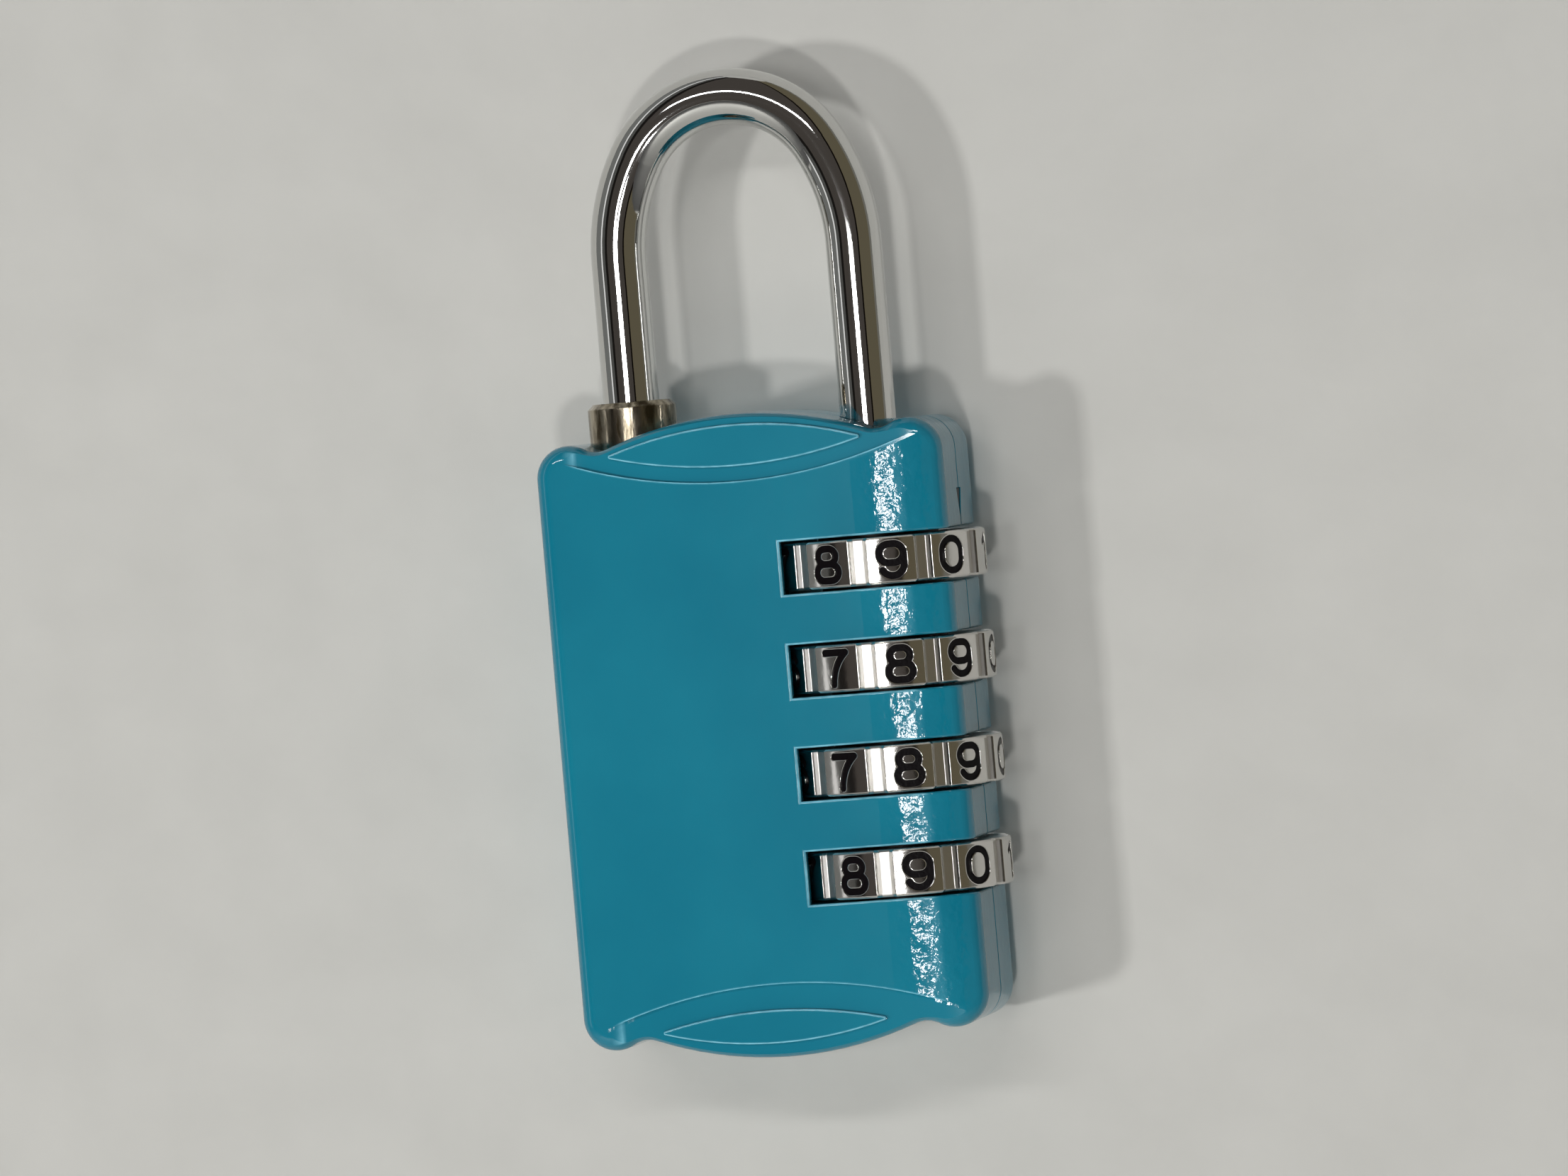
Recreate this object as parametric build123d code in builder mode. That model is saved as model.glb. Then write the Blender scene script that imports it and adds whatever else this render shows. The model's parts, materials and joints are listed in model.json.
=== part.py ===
from build123d import *
import math
import os

os.makedirs("parts", exist_ok=True)

# Combination padlock with four side dials and a chromed shackle. Sizes in millimetres.
# X runs from the plain side to the dial side, -Y is the front, Z runs up the shackle.
# The origin is the underside of the shackle's crown, where the lock hangs.

# Shackle, on the line through the middle of its bar, and the drop from its legs' tops to the case's middle
bar_d = 4.1
leg_x = 8.8
shoulder_r = 15.0
crown_r = 7.85
leg_end_chamfer = 0.5
case_drop = 35.1

# Case outline, seen from the front and measured from the case's middle
case_w = 30.0
case_t = 13.0
bulge_z = 23.4
bulge_r = 27.0
lobe_z = 22.1
lobe_r = 2.4
notch_r = 2.0
edge_r = 1.2
parting_chamfer = 0.12

# Rolled edge on the dial side of both faces
roll_r = 10.0
roll_w = 5.0

# Sunken bands at both ends of each face, fading out at the plain side and running into the rolled edge
band_r = 36.0
upper_band_z = 18.5
lower_band_z = 18.0
band_depth = 0.4
band_half_w = 13.0
band_fade = 2.0
band_turn_r = 4.0

# Almond-shaped pads that stand in the bands up to the level of the face; the lower one is smaller
upper_pad_half_w = 9.7
upper_pad_low_z = 19.6
upper_pad_high_z = 22.65
lower_pad_x = -0.6
lower_pad_half_w = 8.7
lower_pad_low_z = 19.85
lower_pad_high_z = 22.3
pad_tip_z = 21.0
pad_tip_r = 0.15
pad_edge_r = 0.15
pad_root = 1.5

# Dials: round, with a groove between neighbouring numerals, stacked a little above the case's middle
dial_count = 4
numeral_count = 10
stack_rise = 0.7
dial_pitch = 7.5
dial_w = 3.4
dial_r = 7.75
land_w = 3.5
groove_r = 7.35
groove_w = 0.75
dial_rim_chamfer = 0.15
slot_side_gap = 0.22
slot_left = 6.0
slot_edge_r = 0.2
dial_pocket_gap = 0.6
index_digits = (1, 0, 0, 1)

# Engraved numerals, drawn with a round-ended pen
pen_w = 0.52
engrave_depth = 0.36
paint_sink = 0.15
paint_gap = 0.01

# Index marks at the parting line
mark_w = 1.6
mark_l = 2.4
mark_gap = 0.4
mark_depth = 0.25

# Clutch sleeves on the long leg, one in each dial
run_gap = 0.08
loose_gap = 0.25
sleeve_r = 4.4
sleeve_gap = 0.2
tooth_w = 1.3
tooth_h = 1.1
tooth_r = 5.2
tooth_low = 0.2
reset_travel = 1.5

# Fence pins pressed across the long leg
pin_d = 1.2
pin_reach = 3.1
pin_gap = 0.2
pin_socket = 1.7
room_rise = 1.05
lift = dial_pitch

# Keyed washer above the sleeves, spring washer and reset spring below
key_washer_r = 5.6
key_washer_t = 0.8
spring_washer_r = 4.3
spring_washer_t = 0.6
spring_r = 3.2
spring_wire_d = 0.6
spring_turns = 4
case_floor = 1.7
leg_foot_gap = 0.9

# Socket collar of the short leg
collar_r = 3.25
collar_flange_r = 4.0
collar_flange_t = 1.2
collar_proud = 1.5
collar_floor = 0.8
collar_chamfer = 0.4
short_leg_clear = 0.6
short_leg_gap = 0.2

# Detent spring comb beside the dials
leaf_t = 0.35
leaf_gap = 0.05
finger_w = 2.2
finger_tip_y = -1.5
spine_low_y = 3.4
spine_high_y = 5.0
spine_gap = 0.05

# Hollow of the plain side and the pins that hold the shells together
wall = 1.5
hollow_corner_r = 1.0
hollow_high_z = 14.5
hollow_low_z = -19.5
case_pin_r = 1.0
case_pin_l = 9.0
boss_r = 2.2
post_in = 2.0

# How far a cutter runs past the surface, how close two edges count as one, and how steep an edge counts
# as running from front to back
cut_over = 1.0
near = 0.01
steep = 0.9

# Levels and radii that follow from the sizes above
bar_r = bar_d / 2
half_w = case_w / 2
half_t = case_t / 2
crown_z = bar_r - crown_r
leg_top_z = crown_z - math.sqrt((shoulder_r - crown_r) ** 2 - (shoulder_r - leg_x) ** 2)
mid_z = leg_top_z - case_drop
stack_z = mid_z + stack_rise
stack_half = dial_count * dial_pitch / 2
dial_levels = [stack_rise + stack_half - dial_pitch * (place + 0.5) for place in range(dial_count)]
numeral_step = 360 / numeral_count
slot_h = dial_w + 2 * slot_side_gap
pocket_r = dial_r + dial_pocket_gap
sleeve_l = dial_pitch - sleeve_gap
sleeve_bore_r = bar_r + run_gap
dial_bore_r = sleeve_r + run_gap
tooth_room_r = tooth_r + loose_gap
case_bore_r = sleeve_r + loose_gap
key_room_r = pin_reach + pin_gap
key_w = pin_d + 2 * pin_gap
room_low = room_rise - sleeve_l / 2
room_h = pin_d + reset_travel + 2 * pin_gap
pin_low = room_low + pin_gap + pin_d / 2
key_washer_z = stack_rise + stack_half + sleeve_gap / 2
lift_roof_z = dial_levels[0] + pin_low + lift + pin_d / 2 + pin_gap
spring_washer_z = stack_rise - stack_half - sleeve_gap / 2 - spring_washer_t
floor_z = case_floor - lobe_z
long_leg_z = floor_z + reset_travel + leg_foot_gap
collar_top_z = bulge_z + collar_proud
short_leg_z = collar_top_z - lift + short_leg_clear
collar_low_z = short_leg_z - collar_floor - short_leg_gap
leaf_x = leg_x - dial_r - leaf_gap - leaf_t
comb_h = dial_levels[0] - dial_levels[-1] + slot_h
hollow_left_x = wall - half_w
hollow_right_x = leg_x - pocket_r - wall
pin_posts = [
    (hollow_left_x + post_in, hollow_high_z - post_in),
    (hollow_right_x - post_in, hollow_high_z - post_in),
    (hollow_left_x + post_in, hollow_low_z + post_in),
    (hollow_right_x - post_in, hollow_low_z + post_in),
]
on_low_end = (Align.CENTER, Align.CENTER, Align.MIN)
on_left_side = (Align.MIN, Align.CENTER, Align.CENTER)

case_plane = Plane(origin=(0, 0, mid_z), x_dir=(1, 0, 0), z_dir=(0, -1, 0))
side_plane = Plane(origin=(half_w, 0, stack_z), x_dir=(0, 1, 0), z_dir=(1, 0, 0))
middle_plane = Plane.XY.offset(mid_z)


def arc_middle(centre, start, end):
    """Middle of the short arc from start to end."""
    spread = (start - centre).normalized() + (end - centre).normalized()
    return centre + spread.normalized() * (start - centre).length


# Case outline: a broad bulge between rounded lobes, with a hollow notch beside each lobe
bulge_c = Vector(0, bulge_z - bulge_r)
lobe_c = Vector(half_w - lobe_r, lobe_z - lobe_r)
across = lobe_c - bulge_c
to_bulge = bulge_r + notch_r
to_lobe = lobe_r + notch_r
along = (to_bulge**2 - to_lobe**2 + across.length**2) / (2 * across.length)
off = math.sqrt(to_bulge**2 - along**2)
notch_c = bulge_c + across.normalized() * along + across.normalized().rotate(Axis.Z, 90) * off
bulge_top = Vector(0, bulge_z)
bulge_end = bulge_c + (notch_c - bulge_c).normalized() * bulge_r
lobe_start = lobe_c + (notch_c - lobe_c).normalized() * lobe_r
side_top = Vector(half_w, lobe_z - lobe_r)

with BuildSketch(case_plane) as outline:
    with BuildLine():
        ThreePointArc(bulge_top, arc_middle(bulge_c, bulge_top, bulge_end), bulge_end)
        ThreePointArc(bulge_end, arc_middle(notch_c, bulge_end, lobe_start), lobe_start)
        ThreePointArc(lobe_start, arc_middle(lobe_c, lobe_start, side_top), side_top)
        Line(side_top, (half_w, 0))
        mirror(about=Plane.YZ)
        mirror(about=Plane.XZ)
    make_face()

# Rolled edge of the face on the dial side, seen from above
roll_x = half_w - roll_w
roll_end = half_w + cut_over
roll_c = Vector(roll_x, roll_r - half_t)


def on_roll(x):
    """Point of the rolled edge at a given X."""
    return Vector(x, roll_c.Y - math.sqrt(roll_r**2 - (x - roll_x) ** 2))


# Floor of the sunken bands, seen from above: it sinks from the face, runs flat and turns into the rolled edge
floor_y = band_depth - half_t
fade_start = Vector(-band_half_w, -half_t)
fade_end = Vector(band_fade - band_half_w, floor_y)
fade_mid = (fade_start + fade_end) / 2
fade_r = (fade_mid - fade_start).length ** 2 / band_depth
turn_reach = math.sqrt((roll_r - band_turn_r) ** 2 - (roll_r - band_depth - band_turn_r) ** 2)
turn_c = Vector(roll_x + turn_reach, floor_y + band_turn_r)
turn_start = Vector(turn_c.X, floor_y)
turn_end = roll_c + (turn_c - roll_c).normalized() * roll_r
with BuildSketch(middle_plane) as band_floor:
    with BuildLine():
        ThreePointArc(fade_start, arc_middle(fade_start + Vector(0, fade_r), fade_start, fade_mid), fade_mid)
        ThreePointArc(fade_mid, arc_middle(fade_end - Vector(0, fade_r), fade_mid, fade_end), fade_end)
        Line(fade_end, turn_start)
        ThreePointArc(turn_start, arc_middle(turn_c, turn_start, turn_end), turn_end)
        Polyline(
            turn_end,
            (turn_end.X, -half_t - cut_over),
            (-band_half_w, -half_t - cut_over),
            fade_start,
        )
    make_face()


def band_cut(band_z):
    """The room of a sunken band above the middle of the face."""
    arc_c = Vector(0, band_z + band_r)
    left_end = arc_c - Vector(band_half_w, math.sqrt(band_r**2 - band_half_w**2))
    right_end = arc_c + Vector(turn_end.X, -math.sqrt(band_r**2 - turn_end.X**2))
    with BuildPart() as band:
        with BuildSketch(case_plane.offset(half_t)):
            with BuildLine():
                ThreePointArc(left_end, (0, band_z), right_end)
                Polyline(
                    right_end,
                    (right_end.X, bulge_z + cut_over),
                    (left_end.X, bulge_z + cut_over),
                    left_end,
                )
            make_face()
        extrude(amount=half_t, both=True)
        extrude(band_floor.sketch, amount=bulge_z + 2 * cut_over, dir=(0, 0, 1), mode=Mode.INTERSECT)
    return band.part


def pad_sketch(middle_x, pad_half_w, low_z, high_z):
    """The almond outline of a pad above the middle of the face."""
    with BuildSketch(case_plane.offset(half_t)) as pad:
        with BuildLine():
            left_tip = (middle_x - pad_half_w, pad_tip_z)
            right_tip = (middle_x + pad_half_w, pad_tip_z)
            ThreePointArc(left_tip, (middle_x, low_z), right_tip)
            ThreePointArc(left_tip, (middle_x, high_z), right_tip)
        make_face()
        fillet(pad.vertices(), pad_tip_r)
    return pad.sketch


upper_band = band_cut(upper_band_z)
lower_band = band_cut(lower_band_z).mirror(middle_plane)
upper_pad = pad_sketch(0, upper_pad_half_w, upper_pad_low_z, upper_pad_high_z)
lower_pad = pad_sketch(lower_pad_x, lower_pad_half_w, lower_pad_low_z, lower_pad_high_z).mirror(middle_plane)


# Front shell
def on_rim(edge):
    """True for an edge of the front face that lies on the case's outline."""
    middle = edge @ 0.5
    on_outline = outline.sketch.wire().distance_to(Vertex(middle.X, 0, middle.Z)) < near
    return on_outline and middle.Y < -half_t / 2 and abs(edge.tangent_at(0.5).Y) < steep


def on_pad(edge):
    """True for an upper edge of a pad; the arcs of the bands and the lobes lie at the same level."""
    level = edge.bounding_box().size.Y < near and abs(edge.center().Y + half_t) < near
    other_radii = (band_r, lobe_r - edge_r)
    arc = edge.geom_type == GeomType.CIRCLE
    return level and arc and all(abs(edge.radius - radius) > near for radius in other_radii)


def on_slot_lip(edge):
    """True for an edge where a dial slot breaks the outside of the front shell."""
    box = edge.bounding_box()
    flat = box.size.Z < near
    across_slot = any(abs(abs(box.min.Z - mid_z - level) - slot_h / 2) < near for level in dial_levels)
    end_wall = box.size.X < near and edge.center().X < roll_x
    inside = edge.center().Y > -near or end_wall
    in_pocket = edge.geom_type == GeomType.CIRCLE and abs(edge.radius - pocket_r) < near
    slot_end = box.size.Y < near and box.size.X < near and edge.center().Y < near - half_t
    return slot_end or flat and across_slot and not inside and not in_pocket


with BuildPart() as front_shell:
    extrude(outline.sketch, amount=half_t, dir=(0, -1, 0))
    chamfer(front_shell.faces().sort_by(Axis.Y)[-1].edges(), parting_chamfer)
    with BuildSketch(middle_plane.offset(-bulge_z - cut_over)):
        with BuildLine():
            ThreePointArc(on_roll(roll_x), on_roll(roll_x + roll_w / 2), on_roll(roll_end))
            Polyline(
                on_roll(roll_end),
                (roll_end, -half_t - cut_over),
                (roll_x, -half_t - cut_over),
                on_roll(roll_x),
            )
        make_face()
    extrude(amount=2 * (bulge_z + cut_over), mode=Mode.SUBTRACT)
    fillet(front_shell.edges().filter_by(on_rim), edge_r)
    add([upper_band, lower_band], mode=Mode.SUBTRACT)
    extrude(upper_pad.faces() + lower_pad.faces(), amount=pad_root, dir=(0, 1, 0))
    fillet(front_shell.edges().filter_by(on_pad), pad_edge_r)
    with Locations([(leg_x, 0, mid_z + level) for level in dial_levels]):
        Cylinder(pocket_r, slot_h, mode=Mode.SUBTRACT)
    with Locations([(leg_x - slot_left, 0, mid_z + level) for level in dial_levels]):
        Box(slot_left, case_t + 2 * cut_over, slot_h, align=on_left_side, mode=Mode.SUBTRACT)
    fillet(front_shell.edges().filter_by(on_slot_lip), slot_edge_r)
    for turn in (0, 180):
        with BuildSketch(side_plane.rotated((0, 0, turn))):
            with Locations((0, stack_half - dial_pitch / 2 + slot_h / 2 + mark_gap)):
                Polygon((0, 0), (mark_w / 2, mark_l), (-mark_w / 2, mark_l), align=None)
        extrude(amount=-mark_depth, mode=Mode.SUBTRACT)
    with Locations((leg_x, 0, mid_z + floor_z)):
        Cylinder(case_bore_r, key_washer_z - floor_z, align=on_low_end, mode=Mode.SUBTRACT)
    with Locations((leg_x, 0, mid_z + key_washer_z)):
        Cylinder(key_washer_r, key_washer_t, align=on_low_end, mode=Mode.SUBTRACT)
        Cylinder(key_room_r, lift_roof_z - key_washer_z, align=on_low_end, mode=Mode.SUBTRACT)
        Cylinder(bar_r + run_gap, bulge_z, align=on_low_end, mode=Mode.SUBTRACT)
    with Locations((-leg_x, 0, mid_z + collar_low_z)):
        Cylinder(collar_r, bulge_z, align=on_low_end, mode=Mode.SUBTRACT)
        Cylinder(collar_flange_r, collar_flange_t, align=on_low_end, mode=Mode.SUBTRACT)
    with BuildSketch(case_plane) as hollow:
        with Locations(((hollow_left_x + hollow_right_x) / 2, (hollow_low_z + hollow_high_z) / 2)):
            Rectangle(hollow_right_x - hollow_left_x, hollow_high_z - hollow_low_z)
        fillet(hollow.vertices(), hollow_corner_r)
        with Locations(pin_posts):
            Circle(boss_r, mode=Mode.SUBTRACT)
    extrude(amount=half_t - wall, mode=Mode.SUBTRACT)
    with Locations([(x, 0, mid_z + z) for x, z in pin_posts]):
        Cylinder(case_pin_r, case_pin_l, rotation=(90, 0, 0), mode=Mode.SUBTRACT)
front_shell.part.label = "front_shell"
export_step(front_shell.part, "parts/front_shell.step")

# Back shell: the front one mirrored, with a groove for the detent spring through the walls between dials
with BuildPart() as back_shell:
    add(front_shell.part.mirror(Plane.XZ))
    with Locations((leaf_x - spine_gap, 0, stack_z)):
        Box(
            leaf_t + 2 * spine_gap,
            spine_high_y,
            comb_h,
            align=(Align.MIN, Align.MIN, Align.CENTER),
            mode=Mode.SUBTRACT,
        )
back_shell.part.label = "back_shell"
export_step(back_shell.part, "parts/back_shell.step")

# Pins pressed into both shells
with BuildPart() as case_pins:
    with Locations([(x, 0, mid_z + z) for x, z in pin_posts]):
        Cylinder(case_pin_r, case_pin_l, rotation=(90, 0, 0))
case_pins.part.label = "case_pins"
export_step(case_pins.part, "parts/case_pins.step")

# Socket collar of the short leg, held by its flange between the shells
with BuildPart() as collar:
    with Locations((-leg_x, 0, mid_z + collar_low_z)):
        Cylinder(collar_r, collar_top_z - collar_low_z, align=on_low_end)
        Cylinder(collar_flange_r, collar_flange_t, align=on_low_end)
    chamfer(collar.edges().filter_by(GeomType.CIRCLE).sort_by(Axis.Z)[-1], collar_chamfer)
    with Locations((-leg_x, 0, mid_z + collar_low_z + collar_floor)):
        Cylinder(bar_r + run_gap, collar_top_z - collar_low_z, align=on_low_end, mode=Mode.SUBTRACT)
collar.part.label = "collar"
export_step(collar.part, "parts/collar.step")

# Shackle: two legs, rounded shoulders and a tighter crown, bent from one bar
shoulder_c = Vector(leg_x - shoulder_r, 0, leg_top_z)
crown_c = Vector(0, 0, crown_z)
leg_top = Vector(leg_x, 0, leg_top_z)
shoulder_end = shoulder_c + (crown_c - shoulder_c).normalized() * shoulder_r
shoulder_mid = arc_middle(shoulder_c, leg_top, shoulder_end)
crown_top = Vector(0, 0, crown_z + crown_r)
pin_levels = [level + pin_low for level in dial_levels]
with BuildPart() as shackle:
    for x, low_z in ((leg_x, mid_z + long_leg_z), (-leg_x, mid_z + short_leg_z)):
        with Locations((x, 0, low_z)):
            Cylinder(bar_r, leg_top_z - low_z, align=on_low_end)
        chamfer(shackle.edges().filter_by_position(Axis.Z, low_z - near, low_z + near), leg_end_chamfer)
    with BuildLine() as bow_line:
        ThreePointArc(leg_top, shoulder_mid, shoulder_end)
        ThreePointArc(shoulder_end, crown_top, (-shoulder_end.X, 0, shoulder_end.Z))
        ThreePointArc(
            (-shoulder_end.X, 0, shoulder_end.Z),
            (-shoulder_mid.X, 0, shoulder_mid.Z),
            (-leg_x, 0, leg_top_z),
        )
    with BuildSketch(Plane.XY.offset(leg_top_z)):
        with Locations((leg_x, 0)):
            Circle(bar_r)
    sweep(path=bow_line.line)
    with Locations([(leg_x + pin_socket, 0, mid_z + level) for level in pin_levels]):
        Cylinder(
            pin_d / 2,
            pin_reach + pin_socket,
            rotation=(0, -90, 0),
            align=on_low_end,
            mode=Mode.SUBTRACT,
        )
shackle.part.label = "shackle"
export_step(shackle.part, "parts/shackle.step")

# Fence pins, one in each dial, pointing to the plain side
with BuildPart() as fence_pins:
    with Locations([(leg_x + pin_socket, 0, mid_z + level) for level in pin_levels]):
        Cylinder(pin_d / 2, pin_reach + pin_socket, rotation=(0, -90, 0), align=on_low_end)
fence_pins.part.label = "fence_pins"
export_step(fence_pins.part, "parts/fence_pins.step")

# Numerals as pen strokes: two points are a line, three are an arc
numeral_strokes = {
    0: [
        ((-0.9, 0.25), (0, 1.15), (0.9, 0.25)),
        ((0.9, 0.25), (0.9, -0.25)),
        ((0.9, -0.25), (0, -1.15), (-0.9, -0.25)),
        ((-0.9, -0.25), (-0.9, 0.25)),
    ],
    1: [((0.15, -1.15), (0.15, 1.15)), ((0.15, 1.15), (-0.45, 0.65))],
    2: [
        ((-0.85, 0.35), (0, 1.15), (0.85, 0.35)),
        ((0.85, 0.35), (0.4, -0.4), (-0.85, -1.15)),
        ((-0.85, -1.15), (0.88, -1.15)),
    ],
    3: [
        ((-0.7, 0.8), (0.15, 1.15), (0.7, 0.6)),
        ((0.7, 0.6), (0.55, 0.2), (0.15, 0.05)),
        ((0.15, 0.05), (-0.15, 0.05)),
        ((0.2, 0.05), (0.88, -0.55), (0.2, -1.15)),
        ((0.2, -1.15), (-0.45, -1.08), (-0.85, -0.75)),
    ],
    4: [((0.4, -1.15), (0.4, 1.15)), ((0.4, 1.15), (-0.9, -0.5)), ((-0.9, -0.5), (0.9, -0.5))],
    5: [
        ((0.75, 1.15), (-0.6, 1.15)),
        ((-0.6, 1.15), (-0.72, 0.1)),
        ((-0.72, 0.1), (0.85, -0.35), (-0.8, -0.85)),
    ],
    6: [
        ((-0.2, 0.21), (0.2, 0.21)),
        ((0.2, 0.21), (0.88, -0.47), (0.2, -1.15)),
        ((0.2, -1.15), (-0.2, -1.15)),
        ((-0.2, -1.15), (-0.88, -0.47), (-0.2, 0.21)),
        ((-0.88, -0.47), (-0.88, 0.3)),
        ((-0.88, 0.3), (-0.25, 1.12), (0.7, 0.72)),
    ],
    7: [((-0.83, 1.15), (0.83, 1.15)), ((0.83, 1.15), (0.05, 0.1), (-0.25, -1.15))],
    8: [
        ((-0.17, 1.15), (0.17, 1.15)),
        ((0.17, 1.15), (0.72, 0.6), (0.17, 0.05)),
        ((-0.17, 0.05), (-0.72, 0.6), (-0.17, 1.15)),
        ((-0.28, 0.05), (0.28, 0.05)),
        ((0.28, 0.05), (0.88, -0.55), (0.28, -1.15)),
        ((0.28, -1.15), (-0.28, -1.15)),
        ((-0.28, -1.15), (-0.88, -0.55), (-0.28, 0.05)),
    ],
    9: [
        ((0.2, -0.21), (-0.2, -0.21)),
        ((-0.2, -0.21), (-0.88, 0.47), (-0.2, 1.15)),
        ((-0.2, 1.15), (0.2, 1.15)),
        ((0.2, 1.15), (0.88, 0.47), (0.2, -0.21)),
        ((0.88, 0.47), (0.88, -0.3)),
        ((0.88, -0.3), (0.25, -1.12), (-0.7, -0.72)),
    ],
}


def numeral(digit, width):
    """One numeral drawn with a round pen of the given width."""
    with BuildSketch() as drawn:
        for stroke in numeral_strokes[digit]:
            with BuildLine() as line:
                if len(stroke) == 2:
                    Line(*stroke)
                else:
                    ThreePointArc(*stroke)
            trace(line_width=width)
            with Locations(stroke[0], stroke[-1]):
                Circle(width / 2)
    return drawn.sketch


def numeral_plane(digit, depth):
    """Plane below the land of one numeral, reading upright with the shackle on top."""
    angle = math.radians(digit * numeral_step)
    outward = Vector(math.cos(angle), math.sin(angle), 0)
    return Plane(origin=outward * (dial_r - depth), x_dir=(-outward.Y, outward.X, 0), z_dir=outward)


# Dial: a round land for each numeral with grooves between, numerals cut in, and ten clutch notches inside
land_mid = Vector(dial_r, 0)
land_low = Vector(math.sqrt(dial_r**2 - land_w**2 / 4), -land_w / 2)
land_high = Vector(land_low.X, land_w / 2)
groove_low = Vector(groove_r, -groove_w / 2).rotate(Axis.Z, numeral_step / 2)
groove_high = Vector(groove_r, groove_w / 2).rotate(Axis.Z, numeral_step / 2)
with BuildPart() as dial_blank:
    with BuildSketch(Plane.XY.offset(-dial_w / 2)):
        with BuildLine():
            for place in range(numeral_count):
                turn = place * numeral_step
                next_turn = turn + numeral_step
                land = [point.rotate(Axis.Z, turn) for point in (land_low, land_mid, land_high)]
                groove = [point.rotate(Axis.Z, turn) for point in (groove_low, groove_high)]
                ThreePointArc(*land)
                Polyline(land[-1], *groove, land_low.rotate(Axis.Z, next_turn))
        make_face()
        Circle(dial_bore_r, mode=Mode.SUBTRACT)
    extrude(amount=dial_w)
    rims = dial_blank.faces().filter_by(Plane.XY).edges()
    chamfer(rims.filter_by(lambda edge: edge.center().length > dial_bore_r), dial_rim_chamfer)
    with Locations((0, 0, -dial_w / 2)):
        Cylinder(tooth_room_r, dial_w / 2 + tooth_low - sleeve_gap, align=on_low_end, mode=Mode.SUBTRACT)
    with PolarLocations(0, numeral_count):
        Box(
            tooth_room_r,
            tooth_w + 2 * run_gap,
            dial_w,
            align=on_left_side,
            mode=Mode.SUBTRACT,
        )
    for digit in range(numeral_count):
        with BuildSketch(numeral_plane(digit, engrave_depth)):
            add(numeral(digit, pen_w))
        extrude(amount=engrave_depth * 2, mode=Mode.SUBTRACT)

# Black enamel left in the engraved numerals
with BuildPart() as enamel:
    for digit in range(numeral_count):
        with BuildSketch(numeral_plane(digit, engrave_depth - paint_gap)):
            add(numeral(digit, pen_w - 2 * paint_gap))
        extrude(amount=engrave_depth - paint_gap - paint_sink)

# Clutch sleeve: keyway for the fence pin, a round room where the pin turns free, and one clutch tooth
with BuildPart() as sleeve_blank:
    Cylinder(sleeve_r, sleeve_l)
    with Locations((0, 0, tooth_low)):
        Box(tooth_r, tooth_w, tooth_h, align=(Align.MIN, Align.CENTER, Align.MIN))
    Cylinder(sleeve_bore_r, sleeve_l, mode=Mode.SUBTRACT)
    Box(key_room_r, key_w, sleeve_l, align=(Align.MAX, Align.CENTER, Align.CENTER), mode=Mode.SUBTRACT)
    with Locations((0, 0, room_low)):
        Cylinder(key_room_r, room_h, align=on_low_end, mode=Mode.SUBTRACT)

for place, level in enumerate(dial_levels):
    number = place + 1
    spot = Location((leg_x, 0, mid_z + level))
    turned = spot * Location((0, 0, 0), (0, 0, -index_digits[place] * numeral_step))
    with BuildPart() as dial:
        add(dial_blank.part.moved(turned))
    dial.part.label = f"dial_{number}"
    export_step(dial.part, f"parts/dial_{number}.step")
    with BuildPart() as numerals:
        add(enamel.part.moved(turned))
    numerals.part.label = f"numerals_{number}"
    export_step(numerals.part, f"parts/numerals_{number}.step")
    with BuildPart() as sleeve:
        add(sleeve_blank.part.moved(spot))
    sleeve.part.label = f"sleeve_{number}"
    export_step(sleeve.part, f"parts/sleeve_{number}.step")

# Keyed washer clamped above the sleeves: the top fence pin passes it only when in line
with BuildPart() as key_washer:
    with Locations((leg_x, 0, mid_z + key_washer_z)):
        Cylinder(key_washer_r, key_washer_t, align=on_low_end)
        Cylinder(bar_r + run_gap, key_washer_t, align=on_low_end, mode=Mode.SUBTRACT)
        Box(
            key_room_r,
            key_w,
            key_washer_t,
            align=(Align.MAX, Align.CENTER, Align.MIN),
            mode=Mode.SUBTRACT,
        )
key_washer.part.label = "key_washer"
export_step(key_washer.part, "parts/key_washer.step")

# Washer between the lowest sleeve and the reset spring
with BuildPart() as spring_washer:
    with Locations((leg_x, 0, mid_z + spring_washer_z)):
        Cylinder(spring_washer_r, spring_washer_t, align=on_low_end)
        Cylinder(bar_r + run_gap, spring_washer_t, align=on_low_end, mode=Mode.SUBTRACT)
spring_washer.part.label = "spring_washer"
export_step(spring_washer.part, "parts/spring_washer.step")

# Reset spring between the washer and the floor of the case
spring_low = floor_z + spring_wire_d / 2
spring_high = spring_washer_z - spring_wire_d / 2
spring_pitch = (spring_high - spring_low) / spring_turns
with BuildPart() as reset_spring:
    with BuildLine() as coil:
        Helix(spring_pitch, spring_high - spring_low, spring_r, center=(leg_x, 0, mid_z + spring_low))
    with BuildSketch(Plane(origin=coil.line @ 0, z_dir=coil.line % 0)):
        Circle(spring_wire_d / 2)
    sweep(path=coil.line, is_frenet=True)
reset_spring.part.label = "reset_spring"
export_step(reset_spring.part, "parts/reset_spring.step")

# Detent spring: a flat comb with one finger beside each dial
with BuildPart() as detent_spring:
    with Locations((leaf_x, spine_low_y, stack_z)):
        Box(
            leaf_t,
            spine_high_y - spine_low_y,
            comb_h - 2 * spine_gap,
            align=(Align.MIN, Align.MIN, Align.CENTER),
        )
    with Locations([(leaf_x, finger_tip_y, mid_z + level) for level in dial_levels]):
        Box(leaf_t, spine_low_y - finger_tip_y, finger_w, align=(Align.MIN, Align.MIN, Align.CENTER))
detent_spring.part.label = "detent_spring"
export_step(detent_spring.part, "parts/detent_spring.step")
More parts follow.
